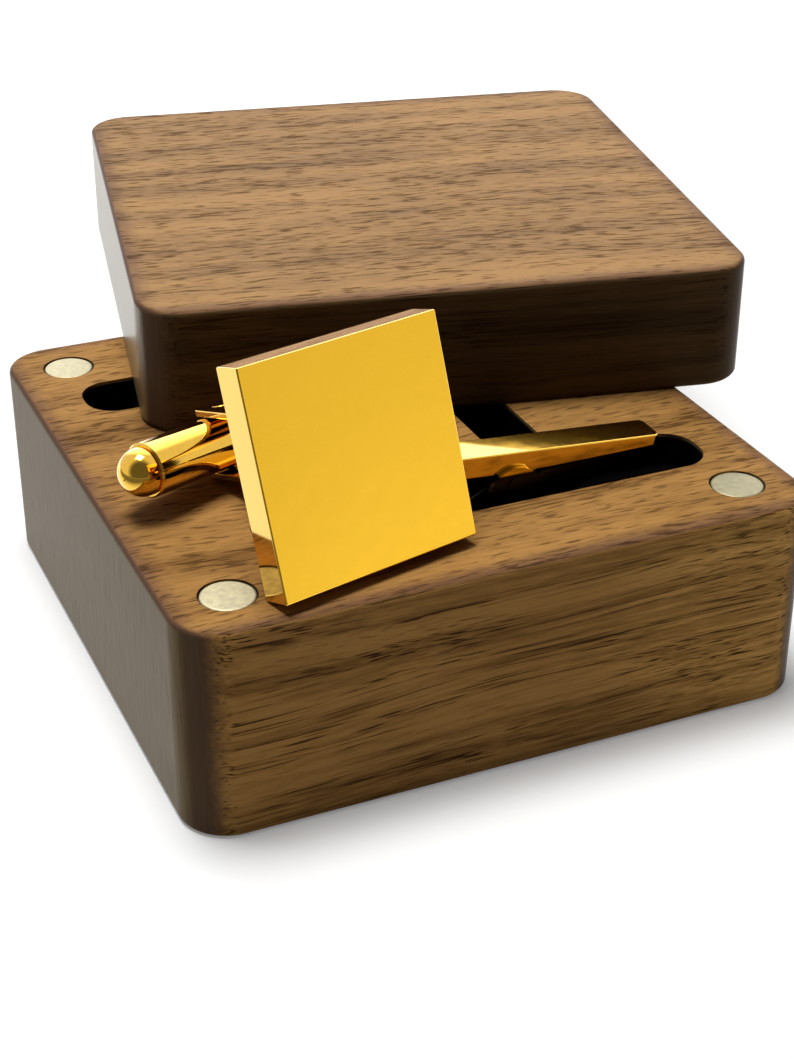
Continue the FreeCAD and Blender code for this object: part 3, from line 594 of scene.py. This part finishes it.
def satin_faced(name, colour, satin, polish, way):
    """Polished metal with a satin face: the roughness rises where the surface looks along a direction."""
    material, tree, principled = new_material(name)
    normal = shade(tree, "TexCoord").outputs["Normal"]
    face = ramp(tree, dot(tree, normal, way), *SATIN_FADE)
    fine = noise(tree, millimetres(tree), *PLATE_WEAR)
    wear = maths(tree, "ADD", 1.0, centred(tree, fine, PLATE_WEAR_SHARE))
    finish = mix_value(tree, face, polish, satin)
    wave = noise(tree, millimetres(tree), *PLATE_WAVE)
    bump = shade(tree, "Bump", {"Height": wave, "Distance": WAVE_DEPTH, "Strength": 0.5})
    tree.links.new(bump.outputs[0], principled.inputs["Normal"])
    tree.links.new(maths(tree, "SUBTRACT", 1.0, face), principled.inputs["Coat Weight"])
    principled.inputs["Base Color"].default_value = (*colour, 1.0)
    principled.inputs["Metallic"].default_value = 1.0
    tree.links.new(maths(tree, "MULTIPLY", wear, finish), principled.inputs["Roughness"])
    return material


def painted_shade_below(name, upper, lower, roughness, way, level):
    """Metal in two colours, parted where the place along a direction passes a level; the lower one is a
    painted shade.
    """
    material, tree, principled = new_material(name)
    place = shade(tree, "TexCoord").outputs["Object"]
    above = ramp(tree, dot(tree, place, way), level - BORDER, level + BORDER)
    tree.links.new(mix_colour(tree, above, (*lower, 1.0), (*upper, 1.0)), principled.inputs["Base Color"])
    rough = mix_value(tree, above, LOWER_ROUGHNESS * roughness, roughness)
    tree.links.new(rough, principled.inputs["Roughness"])
    principled.inputs["Metallic"].default_value = 1.0
    return material


def black_nap(name):
    """Black flocked lining: a dense short nap as fine noise in colour and bump."""
    material, tree, principled = new_material(name)
    nap = noise(tree, millimetres(tree), *NAP)
    colour = mix_colour(tree, nap, NAP_ROOT, NAP_TIP)
    bump = shade(tree, "Bump", {"Height": nap, "Distance": 0.08 * MM, "Strength": 0.8})
    tree.links.new(colour, principled.inputs["Base Color"])
    tree.links.new(bump.outputs[0], principled.inputs["Normal"])
    principled.inputs["Roughness"].default_value = 1.0
    principled.inputs["Specular IOR Level"].default_value = 0.0
    return material


def node_points(node):
    """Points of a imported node's mesh, one row each."""
    vertices = frame["nodes"][node].data.vertices
    points = np.empty(3 * len(vertices), np.float32)
    vertices.foreach_get("co", points)
    return points.reshape(-1, 3).astype(float)


def span(node, axes):
    """Lowest and highest place of a node along each of three axes."""
    local = node_points(node) @ axes.T
    return local.min(axis=0), local.max(axis=0)


def joint_axis(name):
    """Direction of a joint of the frame."""
    return np.array(next(joint["axis"] for joint in frame["joints"] if joint["name"] == name), float)


def cufflink_axes():
    """Rows X along the plate's lower edge, Y out of its back and Z up the plate, the toggle's axis."""
    up = joint_axis("toggle_swing")
    side = np.cross(up, (0.0, 0.0, 1.0))
    side /= np.linalg.norm(side)
    return np.array([side, np.cross(up, side), up])


def clip_axes():
    """Rows X along the tie clip, Y along its hinge and Z up."""
    across = joint_axis("clip_jaw_open")
    along = np.cross(across, (0.0, 0.0, 1.0))
    along /= np.linalg.norm(along)
    return np.array([along, across, np.cross(along, across)])


def closed_skin(name, rings, start, end, axes, material):
    """Closed surface over rings of points: quads join ring i to ring i + 1, a fan closes each end on a pole.

    The rings are given along three axes. A negative volume turns the faces round.
    """
    count, around, _ = rings.shape
    points = np.concatenate([rings.reshape(-1, 3), [start, end]]) @ axes
    here = np.arange(around)
    after = (here + 1) % around
    row = np.arange(count - 1)[:, None] * around
    above = row + around
    quads = np.stack([row + here, row + after, above + after, above + here], axis=2).reshape(-1, 4)
    last = (count - 1) * around
    poles = count * around + np.array([[0], [1]]).repeat(around, axis=1)
    fans = np.concatenate([np.stack([poles[0], after, here], axis=1),
                           np.stack([poles[1], last + here, last + after], axis=1)])
    triangles = np.concatenate([quads[:, :3], quads[:, [0, 2, 3]], fans])
    corner = points[triangles] - points.mean(axis=0)
    volume = np.einsum("ij,ij->i", corner[:, 0], np.cross(corner[:, 1], corner[:, 2])).sum()
    if volume < 0:
        quads, fans = quads[:, ::-1], fans[:, ::-1]
    mesh = bpy.data.meshes.new(name)
    mesh.from_pydata(points.tolist(), [], quads.tolist() + fans.tolist())
    mesh.shade_smooth()
    mesh.materials.append(material)
    piece = bpy.data.objects.new(name, mesh)
    bpy.context.scene.collection.objects.link(piece)
    return piece


def rounded_box_outline(half_x, half_y, radius, steps=6):
    """Points round rectangles with rounded corners, one row per rectangle.

    Corner c is its middle plus radius times (cos, sin) over a quarter turn from 90 c degrees, with one point
    on the straight just before and after it.
    """
    angle = np.linspace(0.0, math.pi / 2, steps)
    arc = np.concatenate([[[1.0, -LEAD]], np.stack([np.cos(angle), np.sin(angle)], axis=1), [[-LEAD, 1.0]]])
    quarter = np.arange(4)[:, None] * math.pi / 2
    turn_x = arc[:, 0] * np.cos(quarter) - arc[:, 1] * np.sin(quarter)
    turn_y = arc[:, 0] * np.sin(quarter) + arc[:, 1] * np.cos(quarter)
    sign_x = np.array([1, -1, -1, 1])[:, None]
    sign_y = np.array([1, 1, -1, -1])[:, None]
    sizes = (np.atleast_1d(size).astype(float) for size in (half_x, half_y, radius))
    half_x, half_y, radius = (size[:, None, None] for size in sizes)
    x = sign_x * (half_x - radius) + radius * turn_x
    y = sign_y * (half_y - radius) + radius * turn_y
    return x.reshape(len(x), -1), y.reshape(len(y), -1)


def rounded_profile(depth, height, radius, steps=6):
    """Inset and height up a slab's side from its back to its face, both rims rounded by a quarter turn."""
    angle = np.linspace(0.0, math.pi / 2, steps)
    lead = LEAD * radius
    inset = np.concatenate([[depth, radius + lead], radius * (1 - np.sin(angle)), [0.0]])
    level = np.concatenate([[0.0, 0.0], radius * (1 - np.cos(angle)), [radius + lead]])
    return np.concatenate([inset, inset[::-1]]), np.concatenate([level, height - level[::-1]])


def turned(name, along, radius, middle, axes, material, around=48):
    """Turned piece about the third axis: middle + radius (cos t, sin t) across and each step along it."""
    t = np.linspace(0.0, 2 * math.pi, around, endpoint=False)
    ring = np.stack([np.cos(t), np.sin(t), np.zeros(around)], axis=1)
    rings = middle + radius[:, None, None] * ring + along[:, None, None] * np.array([0.0, 0.0, 1.0])
    poles = np.array(middle) + np.array([[0.0, 0.0, along[0]], [0.0, 0.0, along[-1]]])
    return closed_skin(name, rings, poles[0], poles[1], axes, material)


def rivet(name, node, axes, dome, head, material):
    """Pin with a low domed head at each end: a cap of a sphere over the shank's two ends."""
    low, high = span(node, axes)
    middle = (low + high) / 2
    half = (high[2] - low[2]) / 2
    shank = (high[0] - low[0]) / 2
    angle = np.linspace(0.05, math.pi / 2, 8)
    cap_along = half + dome * np.cos(angle)
    cap_radius = head * np.sin(angle)
    along = np.concatenate([cap_along, [half - LEAD * dome, half - LEAD * dome]])
    radius = np.concatenate([cap_radius, [head, shank]])
    return turned(name, np.concatenate([-along, along[::-1]]), np.concatenate([radius, radius[::-1]]),
                  middle, axes, material)


def stand_for(piece, node, body):
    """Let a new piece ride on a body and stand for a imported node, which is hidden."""
    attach(piece, body)
    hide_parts(node)


def dress(node, material):
    """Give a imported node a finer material."""
    slots = frame["nodes"][node].material_slots
    for slot in slots:
        slot.material = material


class CUFFBOX_OT_base(bpy.types.Operator):
    """Walnut and lining of the base"""

    bl_idname = "cuffbox.base"
    bl_label = "Base"

    def execute(self, context):
        wood = context.scene.cuffbox_walnut
        dress("base", walnut("base_walnut", "base", turn=0.0, seed=BASE_SEED, painted_sheen_share=0.0, front=1.0,
                             painted_light_end=1.0, end_gloss=wood.base_gloss))
        dress("recess_lining", black_nap("black_lining"))
        return {"FINISHED"}


class CUFFBOX_OT_lid(bpy.types.Operator):
    """Walnut of the lid"""

    bl_idname = "cuffbox.lid"
    bl_label = "Lid"

    def execute(self, context):
        wood = context.scene.cuffbox_walnut
        dress("lid", walnut("lid_walnut", "lid", turn=wood.lid_turn, seed=LID_SEED, painted_sheen_share=wood.lid_painted_sheen_share,
                            front=wood.lid_painted_shade_keep, painted_light_end=0.0, end_gloss=wood.lid_gloss))
        return {"FINISHED"}


class CUFFBOX_OT_magnets(bpy.types.Operator):
    """Nickel of the round magnets"""

    bl_idname = "cuffbox.magnets"
    bl_label = "Magnets"

    def execute(self, context):
        settings = context.scene.cuffbox_metal
        roughness, blotch = settings.nickel_roughness, settings.nickel_blotch
        nickel = metal("magnet_nickel", settings.nickel, roughness, blotch=blotch)
        # Painted shade: a darker nickel for the front right magnet's dimmer reflection
        dull = metal("painted_shade_nickel", settings.painted_shade_nickel, roughness, blotch=blotch)
        for corner in CORNERS:
            dress("base_magnet_" + corner, dull if corner == "front_right" else nickel)
            dress("lid_magnet_" + corner, nickel)
        return {"FINISHED"}


class CUFFBOX_OT_cufflink(bpy.types.Operator):
    """Gold of the cufflink: plate, bent yoke, rivet and toggle"""

    bl_idname = "cuffbox.cufflink"
    bl_label = "Cufflink"

    def execute(self, context):
        settings = context.scene.cuffbox_metal
        axes = cufflink_axes()
        polished = metal("polished_gold", settings.gold, settings.polish, settings.lacquer)
        faced = satin_faced("plate_gold", settings.gold, settings.satin, settings.polish, -axes[1])
        stand_for(self.plate(settings, axes, faced), "cufflink_plate", "cufflink")
        stand_for(self.yoke(settings, axes, polished), "cufflink_post", "cufflink")
        pivot = rivet("cufflink_rivet", "cufflink_pivot_pin", axes, settings.rivet_dome,
                      settings.rivet_head, polished)
        stand_for(pivot, "cufflink_pivot_pin", "cufflink")
        for node in ("cufflink_toggle_barrel", "cufflink_toggle_cap_left", "cufflink_toggle_cap_right"):
            dress(node, polished)
        steel = metal("detent_steel", settings.steel, settings.steel_roughness)
        for node in ("cufflink_detent_plunger", "cufflink_detent_spring"):
            dress(node, steel)
        return {"FINISHED"}

    def plate(self, settings, axes, material):
        """Square slab: a rounded square outline, drawn in by the inset of a profile at each height."""
        low, high = span("cufflink_plate", axes)
        middle = (low + high) / 2
        half = (high - low) / 2
        inset, level = rounded_profile(0.5 * half[0], 2 * half[1], settings.plate_edge)
        x, z = rounded_box_outline(half[0], half[2], settings.plate_edge)
        scale = 1 - inset[:, None] / half[0]
        y = np.broadcast_to((high[1] - level)[:, None], scale.shape)
        rings = np.stack(np.broadcast_arrays(middle[0] + scale * x, y, middle[2] + scale * z), axis=2)
        poles = [(middle[0], high[1], middle[2]), (middle[0], low[1], middle[2])]
        return closed_skin("cufflink_face_plate", rings, *poles, axes, material)

    def yoke(self, settings, axes, material):
        """Strip with rounded edges along a U: arm, bend, foot, bend, arm.

        Over a corner's length from each tip the half breadth is the full one less c (1 - sin t), at a
        distance c (1 - cos t) from the tip, with c the corner's radius.
        """
        low, high = span("cufflink_post", axes)
        middle = (low + high) / 2
        half_width = (high[0] - low[0]) / 2
        half_strip = settings.strip / 2
        edge = settings.strip_edge
        corner = settings.strip_corner
        bend = settings.yoke_bend
        reach = (high[2] - low[2]) / 2 - half_strip
        foot = low[1] + half_strip
        angle = np.linspace(0.0, math.pi / 2, 10)
        tip = corner * (1 - np.cos(angle))
        arm_y = np.concatenate([[high[1]], high[1] - edge - tip, [foot + bend + half_strip]])
        half_y = np.concatenate([arm_y, foot + bend * (1 - np.sin(angle))])
        half_z = np.concatenate([np.full(len(arm_y), reach), reach - bend * (1 - np.cos(angle))])
        half_breadth = half_width - corner * (1 - np.sin(angle))
        whole = np.full(len(half_y) - len(tip) - 1, half_width)
        breadth = np.concatenate([[half_breadth[0] - edge], half_breadth, whole])
        depth = np.full(len(half_y), half_strip)
        depth[0] -= edge
        y = np.concatenate([half_y, half_y[::-1]])
        z = middle[2] + np.concatenate([half_z, -half_z[::-1]])
        breadth = np.concatenate([breadth, breadth[::-1]])
        depth = np.concatenate([depth, depth[::-1]])
        heading = np.stack([np.gradient(y), np.gradient(z)], axis=1)
        heading /= np.linalg.norm(heading, axis=1)[:, None]
        across, thick = rounded_box_outline(breadth, depth, np.full(len(y), edge))
        rings = np.stack([middle[0] + across, y[:, None] - heading[:, 1:] * thick,
                          z[:, None] + heading[:, :1] * thick], axis=2)
        poles = [(middle[0], high[1], z[0]), (middle[0], high[1], z[-1])]
        return closed_skin("cufflink_yoke", rings, *poles, axes, material)


class CUFFBOX_OT_tie_clip(bpy.types.Operator):
    """Gold of the tie clip, with a painted shade on its lower jaw, hinge rivet and spring"""

    bl_idname = "cuffbox.tie_clip"
    bl_label = "Tie clip"

    def execute(self, context):
        settings = context.scene.cuffbox_metal
        polished = metal("clip_gold", settings.gold, settings.clip_polish, settings.lacquer)
        # Painted shade: near black metal for the lower jaw, the spring and the hinge rivet
        painted_shade = metal("painted_shade_metal", settings.painted_shade, settings.painted_shade_roughness)
        axes = clip_axes()
        along, across, up = axes
        middle = node_points("tie_clip_hinge_pin").mean(axis=0)
        way = up + settings.bar_slope * along
        jaw = painted_shade_below("jaw_gold", settings.gold, settings.painted_shade, settings.polish, way,
                       float(middle @ way) + settings.painted_shade_top)
        dress("tie_clip_bar", polished)
        dress("tie_clip_jaw", jaw)
        spring = self.spring(settings, axes, painted_shade)
        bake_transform(spring)
        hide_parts("tie_clip_spring")
        hinge = rivet("tie_clip_rivet", "tie_clip_hinge_pin", np.array([up, along, across]),
                      settings.hinge_dome, settings.hinge_head, painted_shade)
        stand_for(hinge, "tie_clip_hinge_pin", "tie_clip")
        return {"FINISHED"}

    def spring(self, settings, axes, material):
        """Round wire along a leg, a coil and a leg.

        The coil is r (cos a, sin a) across the hinge, with a step along it per turn. The angle a runs from
        the splay less a quarter turn, over one and a half turns less the splay and the rise.
        """
        low, high = span("tie_clip_hinge_pin", axes)
        middle = (low + high) / 2
        radius, splay, rise = settings.spring_radius, settings.spring_splay, settings.spring_rise
        sweep = 3 * math.pi - splay - rise
        turn = np.linspace(0.0, sweep, 120)
        angle = turn + splay - math.pi / 2
        coil = np.stack([radius * np.cos(angle), settings.spring_step * (sweep / 2 - turn) / (2 * math.pi),
                         radius * np.sin(angle)], axis=1)
        foot = coil[0] - settings.jaw_leg * np.array([math.cos(splay), 0.0, math.sin(splay)])
        top = coil[-1] + settings.bar_leg * np.array([-math.cos(rise), 0.0, math.sin(rise)])
        share = np.linspace(0.0, 1.0, 16)[:, None]
        jaw_leg = foot + (coil[0] - foot) * share
        bar_leg = coil[-1] + (top - coil[-1]) * share
        path = np.concatenate([jaw_leg[:-1], coil, bar_leg[1:]])
        heading = np.gradient(path, axis=0)
        heading /= np.linalg.norm(heading, axis=1)[:, None]
        side = np.array([0.0, 1.0, 0.0]) - heading[:, 1:2] * heading
        side /= np.linalg.norm(side, axis=1)[:, None]
        t = np.linspace(0.0, 2 * math.pi, 20, endpoint=False)[:, None]
        across = np.cos(t) * side[:, None] + np.sin(t) * np.cross(heading, side)[:, None]
        rings = middle + path[:, None] + settings.spring_wire / 2 * across
        return closed_skin("tie_clip_coil", rings, middle + path[0], middle + path[-1], axes, material)


def seen_ray(tree):
    """1 for rays from the camera, in reflections and through glass that met no matt surface, otherwise 0.

    With it comes the part of these rays that are reflections.
    """
    path = shade(tree, "LightPath").outputs
    first = maths(tree, "LESS_THAN", path["Diffuse Depth"], 0.5)
    glossy = maths(tree, "MULTIPLY", path["Is Glossy Ray"], first)
    through = maths(tree, "MULTIPLY", path["Is Transmission Ray"], first)
    seen = maths(tree, "MAXIMUM", path["Is Camera Ray"], maths(tree, "MAXIMUM", glossy, through))
    return seen, glossy


def add_lamp(name, place, aim, size, power):
    """Square soft lamp at a place, aimed at a point."""
    lamp = bpy.data.lights.new(name, "AREA")
    lamp.size = size
    lamp.energy = power
    obj = bpy.data.objects.new(name, lamp)
    bpy.context.scene.collection.objects.link(obj)
    way = (np.array(aim) - np.array(place)).tolist()
    obj.location = place
    obj.rotation_euler = (-Vector(way)).to_track_quat("Z", "Y").to_euler()


class CUFFBOX_OT_stage(bpy.types.Operator):
    """Floor, sky, lamp and camera"""

    bl_idname = "cuffbox.stage"
    bl_label = "Stage"

    def execute(self, context):
        stage = context.scene.cuffbox_stage
        self.lay_floor(stage)
        self.light_sky(context.scene, stage)
        add_lamp("top_lamp", LAMP_PLACE, (0.0, 0.0, 0.0), stage.lamp_size, stage.top_power)
        camera = bpy.data.cameras.new("camera")
        camera.lens = stage.lens
        obj = bpy.data.objects.new("camera", camera)
        context.scene.collection.objects.link(obj)
        obj.location = stage.camera_place
        obj.rotation_euler = stage.camera_turn
        context.scene.camera = obj
        context.scene.view_settings.view_transform = "Standard"
        return {"FINISHED"}

    def lay_floor(self, stage):
        """Square floor at the height that the box stands on, with a faint glow where it is seen."""
        half = stage.floor_side / 2
        corners = [(-half, -half, 0.0), (half, -half, 0.0), (half, half, 0.0), (-half, half, 0.0)]
        mesh = bpy.data.meshes.new("floor")
        mesh.from_pydata(corners, [], [(0, 1, 2, 3)])
        floor = bpy.data.objects.new("floor", mesh)
        bpy.context.scene.collection.objects.link(floor)
        material, tree, principled = new_material("floor_white")
        shown, glossy = seen_ray(tree)
        colour = mix_colour(tree, shown, (*stage.floor_bounce, 1.0), (*stage.floor_colour, 1.0))
        principled.inputs["Roughness"].default_value = 0.9
        principled.inputs["Specular IOR Level"].default_value = 0.0
        principled.inputs["Emission Color"].default_value = WHITE
        place = shade(tree, "TexCoord").outputs["Object"]
        distance = shade(tree, "VectorMath", {0: place}, operation="LENGTH")
        fade = ramp(tree, distance.outputs["Value"], stage.fade_near, stage.fade_far)
        lift = maths(tree, "MULTIPLY_ADD", fade, 1.0, stage.floor_lift)
        glow = maths(tree, "MULTIPLY_ADD", shown, lift, maths(tree, "MULTIPLY", glossy, stage.floor_gleam))
        towards = ramp(tree, dot(tree, place, SHADE_AIM), *SHADE_FADE)
        reflected = maths(tree, "MULTIPLY", towards, glossy)
        shaded = maths(tree, "MULTIPLY", reflected, stage.dark_card)
        light = maths(tree, "SUBTRACT", 1.0, shaded)
        tree.links.new(mix_colour(tree, shaded, colour, BLACK), principled.inputs["Base Color"])
        tree.links.new(maths(tree, "MULTIPLY", glow, light), principled.inputs["Emission Strength"])
        mesh.materials.append(material)

    def light_sky(self, scene, stage):
        """White sky where it is seen, with a dark card and a bright backdrop in the reflections.

        Its light is strongest from above and behind.
        """
        world = bpy.data.worlds.new("white_sky")
        scene.world = world
        world.use_nodes = True
        tree = world.node_tree
        tree.nodes.clear()
        way = shade(tree, "TexCoord").outputs["Generated"]
        from_above = ramp(tree, dot(tree, way, SKY_AIM), *SKY_FADE)
        light = mix_value(tree, from_above, stage.sky_front, stage.sky_rear)
        in_front = ramp(tree, dot(tree, way, CARD_AIM), *CARD_FADE)
        card = maths(tree, "MULTIPLY", in_front, stage.dark_card)
        behind = ramp(tree, dot(tree, way, BACKDROP_AIM), *BACKDROP_FADE)
        gleam = maths(tree, "MULTIPLY", behind, stage.backdrop_gleam)
        seen, glossy = seen_ray(tree)
        shown = maths(tree, "MULTIPLY_ADD", maths(tree, "SUBTRACT", gleam, card), glossy, 1.0)
        strength = mix_value(tree, seen, light, shown)
        sky = shade(tree, "Background", {"Color": WHITE, "Strength": strength})
        shade(tree, "OutputWorld", {"Surface": sky.outputs[0]})


class CUFFBOX_PT_panel(bpy.types.Panel):
    """Sidebar panel with the settings and the steps"""

    bl_idname = "CUFFBOX_PT_panel"
    bl_label = "Cufflink box"
    bl_space_type = "VIEW_3D"
    bl_region_type = "UI"
    bl_category = "Cufflink box"

    def draw(self, context):
        for step in STEPS:
            self.layout.operator(step.bl_idname)
        for group in SETTINGS:
            box = self.layout.box()
            settings = getattr(context.scene, group)
            for key in settings.bl_rna.properties.keys():
                if key not in ("rna_type", "name"):
                    box.prop(settings, key)


SETTINGS = {
    "cuffbox_stage": StageSettings,
    "cuffbox_walnut": WalnutSettings,
    "cuffbox_metal": MetalSettings,
}
STEPS = (CUFFBOX_OT_base, CUFFBOX_OT_lid, CUFFBOX_OT_magnets, CUFFBOX_OT_cufflink, CUFFBOX_OT_tie_clip,
         CUFFBOX_OT_stage)


def register():
    """Register the settings, the steps and the panel."""
    for cls in (*SETTINGS.values(), *STEPS, CUFFBOX_PT_panel):
        bpy.utils.register_class(cls)
    for name, cls in SETTINGS.items():
        setattr(bpy.types.Scene, name, bpy.props.PointerProperty(type=cls))


def unregister():
    """Take them all away again."""
    for name in SETTINGS:
        delattr(bpy.types.Scene, name)
    for cls in reversed((*SETTINGS.values(), *STEPS, CUFFBOX_PT_panel)):
        bpy.utils.unregister_class(cls)


def main():
    """Run every step in order."""
    register()
    for step in STEPS:
        area, name = step.bl_idname.split(".")
        getattr(getattr(bpy.ops, area), name)()


if __name__ == "__main__":
    main()
